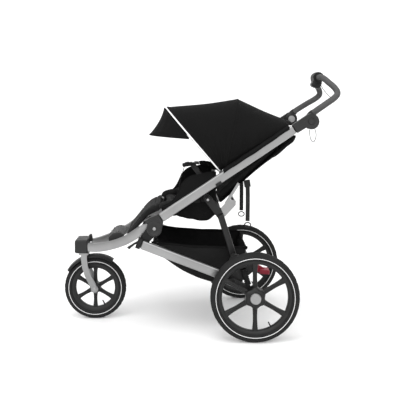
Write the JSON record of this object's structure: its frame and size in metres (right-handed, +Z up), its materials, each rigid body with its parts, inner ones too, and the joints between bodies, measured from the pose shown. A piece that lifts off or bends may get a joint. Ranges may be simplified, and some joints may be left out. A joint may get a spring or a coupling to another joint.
{
  "type": "jogging stroller",
  "caption": "Jogging stroller with a folding frame, swivelling front wheel, sprung rear arms, padded seat, canopy with visor and basket.",
  "frame": {"origin": "on the floor, below the centre of the whole stroller", "axes": "-X is the way the stroller faces, +X its rear, -Y its left side, +Z up"},
  "size_m": [1.323, 0.712, 1.2205],
  "materials": {
    "aluminium": "satin brushed",
    "fork_alloy": "satin",
    "grey_plastic": "fine moulded texture",
    "black_plastic": "fine moulded texture",
    "black_paint": "satin black",
    "steel": "satin",
    "tyre": "matt, fine tread",
    "wheel_plastic": "satin",
    "foam": "matt foam grip",
    "black_fabric": "plain weave",
    "grey_fabric": "melange weave",
    "webbing": "ribbed webbing",
    "red_plastic": "satin",
    "button_plastic": "satin"
  },
  "bodies": {
    "chassis": {"lower_tube_left": "aluminium", "lower_tube_right": "aluminium", "hinge_lug_left": "black_plastic", "hinge_lug_right": "black_plastic", "knuckle_left": "grey_plastic", "knuckle_right": "grey_plastic", "rear_cross_tube": "black_paint", "spring_left": "black_paint", "spring_right": "black_paint", "basket": "black_fabric"},
    "upper_frame": {"main_tube_left": "aluminium", "main_tube_right": "aluminium", "hinge_knuckle_left": "grey_plastic", "hinge_knuckle_right": "grey_plastic", "handle_joint_left": "grey_plastic", "handle_joint_right": "grey_plastic", "seat_sling": "black_fabric", "seat_cushion": "grey_fabric", "leg_rest": "grey_fabric", "back_pocket": "black_fabric", "recline_strap_left": "webbing", "recline_strap_right": "webbing", "strap_ring_left": "black_plastic", "strap_ring_right": "black_plastic", "canopy_rear_fabric": "black_fabric", "brake_cord": "black_plastic"},
    "seat_back": {"seat_back": "grey_fabric", "harness": "webbing"},
    "canopy_front": {"canopy_front_bow": "black_plastic", "canopy_front_fabric": "black_fabric"},
    "canopy_middle": {"canopy_middle_bow": "black_plastic"},
    "visor": {"sun_visor": "black_fabric"},
    "handlebar": {"handlebar": "foam", "brake_cable": "black_plastic"},
    "hand_brake": {"twist_brake": "black_plastic"},
    "handle_button_left": {"handle_button_left": "button_plastic"},
    "handle_button_right": {"handle_button_right": "button_plastic"},
    "rear_legs": {"rear_leg_left": "black_paint", "rear_leg_right": "black_paint"},
    "rocker": {"rocker_frame": "black_paint"},
    "front_frame": {"front_tube_left": "aluminium", "front_tube_right": "aluminium", "front_bracket": "grey_plastic", "footrest": "grey_plastic"},
    "swivel_lock": {"swivel_lock_knob": "black_plastic"},
    "fold_latch": {"fold_latch": "black_plastic"},
    "fork": {"fork": "fork_alloy", "mudguard": "black_plastic", "front_axle": "steel"},
    "front_wheel": {"front_tyre": "tyre", "front_rim": "wheel_plastic"},
    "pedal": {"parking_pedal": "red_plastic"},
    "swing_arm_left": {"swing_arm_left": "grey_plastic"},
    "rear_wheel_left": {"rear_left_tyre": "tyre", "rear_left_rim": "wheel_plastic"},
    "release_left": {"release_cap_left": "steel"},
    "swing_arm_right": {"swing_arm_right": "grey_plastic"},
    "rear_wheel_right": {"rear_right_tyre": "tyre", "rear_right_rim": "wheel_plastic"},
    "release_right": {"release_cap_right": "steel"}
  },
  "joints": [
    {"name": "frame_fold", "type": "hinge", "parent": "chassis", "child": "upper_frame", "pos_m": [-0.206, 0, 0.497], "axis": [0, 1, 0], "range_deg": [0, 38], "deforming": ["basket"]},
    {"name": "front_fold", "type": "hinge", "parent": "chassis", "child": "front_frame", "pos_m": [-0.206, 0, 0.497], "axis": [0, 1, 0], "range_deg": [-80, 0]},
    {"name": "leg_fold", "type": "hinge", "parent": "chassis", "child": "rear_legs", "pos_m": [0.16, 0, 0.355], "axis": [0, 1, 0], "range_deg": [-49.5, 0]},
    {"name": "rocker_fold", "type": "hinge", "parent": "upper_frame", "child": "rocker", "pos_m": [0.037, 0, 0.627], "axis": [0, 1, 0], "range_deg": [0, 83.5]},
    {"name": "fork_swivel", "type": "hinge", "parent": "front_frame", "child": "fork", "pos_m": [-0.567, 0, 0.34], "axis": [0, 0, 1], "continuous": true},
    {"name": "front_wheel_spin", "type": "hinge", "parent": "fork", "child": "front_wheel", "pos_m": [-0.509, 0, 0.1525], "axis": [0, 1, 0], "continuous": true},
    {"name": "seat_recline", "type": "hinge", "parent": "upper_frame", "child": "seat_back", "pos_m": [0.08, 0, 0.6], "axis": [0, -1, 0], "range_deg": [0, 25], "deforming": ["harness"]},
    {"name": "canopy_fold", "type": "hinge", "parent": "canopy_middle", "child": "canopy_front", "pos_m": [0.094, 0, 0.726], "axis": [0, 1, 0], "range_deg": [0, 38], "deforming": ["canopy_front_fabric", "canopy_rear_fabric"]},
    {"name": "canopy_middle_fold", "type": "hinge", "parent": "upper_frame", "child": "canopy_middle", "pos_m": [0.094, 0, 0.726], "axis": [0, 1, 0], "range_deg": [0, 20]},
    {"name": "visor_flip", "type": "hinge", "parent": "canopy_front", "child": "visor", "pos_m": [-0.07, 0, 0.94], "axis": [0, 1, 0], "range_deg": [0, 30], "deforming": ["sun_visor"]},
    {"name": "handle_height", "type": "hinge", "parent": "upper_frame", "child": "handlebar", "pos_m": [0.507, 0, 0.983], "axis": [0, 1, 0], "range_deg": [-25, 45]},
    {"name": "hand_brake_twist", "type": "hinge", "parent": "handlebar", "child": "hand_brake", "pos_m": [0.594, 0, 1.1935], "axis": [0, 1, 0], "range_deg": [0, 40], "stiffness_Nm_per_rad": 1.5},
    {"name": "swivel_lock_pull", "type": "slide", "parent": "front_frame", "child": "swivel_lock", "axis": [0, 0, 1], "range_m": [0, 0.008]},
    {"name": "fold_latch_swing", "type": "hinge", "parent": "front_frame", "child": "fold_latch", "pos_m": [-0.267, 0, 0.44], "axis": [0, -1, 0], "range_deg": [0, 25], "stiffness_Nm_per_rad": 0.5, "springref_deg": -8.59},
    {"name": "parking_brake", "type": "hinge", "parent": "chassis", "child": "pedal", "pos_m": [0.237, 0, 0.312], "axis": [0, 1, 0], "range_deg": [0, 20]},
    {"name": "suspension_left", "type": "hinge", "parent": "chassis", "child": "swing_arm_left", "pos_m": [0.15, 0, 0.255], "axis": [0, -1, 0], "range_deg": [0, 8], "stiffness_Nm_per_rad": 60, "springref_deg": -11.46, "deforming": ["spring_left"]},
    {"name": "rear_wheel_spin_left", "type": "hinge", "parent": "swing_arm_left", "child": "rear_wheel_left", "pos_m": [0.2455, 0, 0.2], "axis": [0, 1, 0], "continuous": true},
    {"name": "release_press_left", "type": "slide", "parent": "rear_wheel_left", "child": "release_left", "axis": [0, 1, 0], "range_m": [0, 0.003], "stiffness_N_per_m": 800},
    {"name": "handle_button_press_left", "type": "slide", "parent": "upper_frame", "child": "handle_button_left", "axis": [0, 1, 0], "range_m": [0, 0.003], "stiffness_N_per_m": 500},
    {"name": "suspension_right", "type": "hinge", "parent": "chassis", "child": "swing_arm_right", "pos_m": [0.15, 0, 0.255], "axis": [0, -1, 0], "range_deg": [0, 8], "stiffness_Nm_per_rad": 60, "springref_deg": -11.46, "deforming": ["spring_right"]},
    {"name": "rear_wheel_spin_right", "type": "hinge", "parent": "swing_arm_right", "child": "rear_wheel_right", "pos_m": [0.2455, 0, 0.2], "axis": [0, 1, 0], "continuous": true},
    {"name": "release_press_right", "type": "slide", "parent": "rear_wheel_right", "child": "release_right", "axis": [0, -1, 0], "range_m": [0, 0.003], "stiffness_N_per_m": 800},
    {"name": "handle_button_press_right", "type": "slide", "parent": "upper_frame", "child": "handle_button_right", "axis": [0, -1, 0], "range_m": [0, 0.003], "stiffness_N_per_m": 500}
  ],
  "couplings": [
    {"joint": "front_fold", "follows": "frame_fold", "ratio": -2.1},
    {"joint": "leg_fold", "follows": "frame_fold", "ratio": -1.292},
    {"joint": "rocker_fold", "follows": "frame_fold", "ratio": 2.184},
    {"joint": "canopy_middle_fold", "follows": "canopy_fold", "ratio": 0.52}
  ]
}
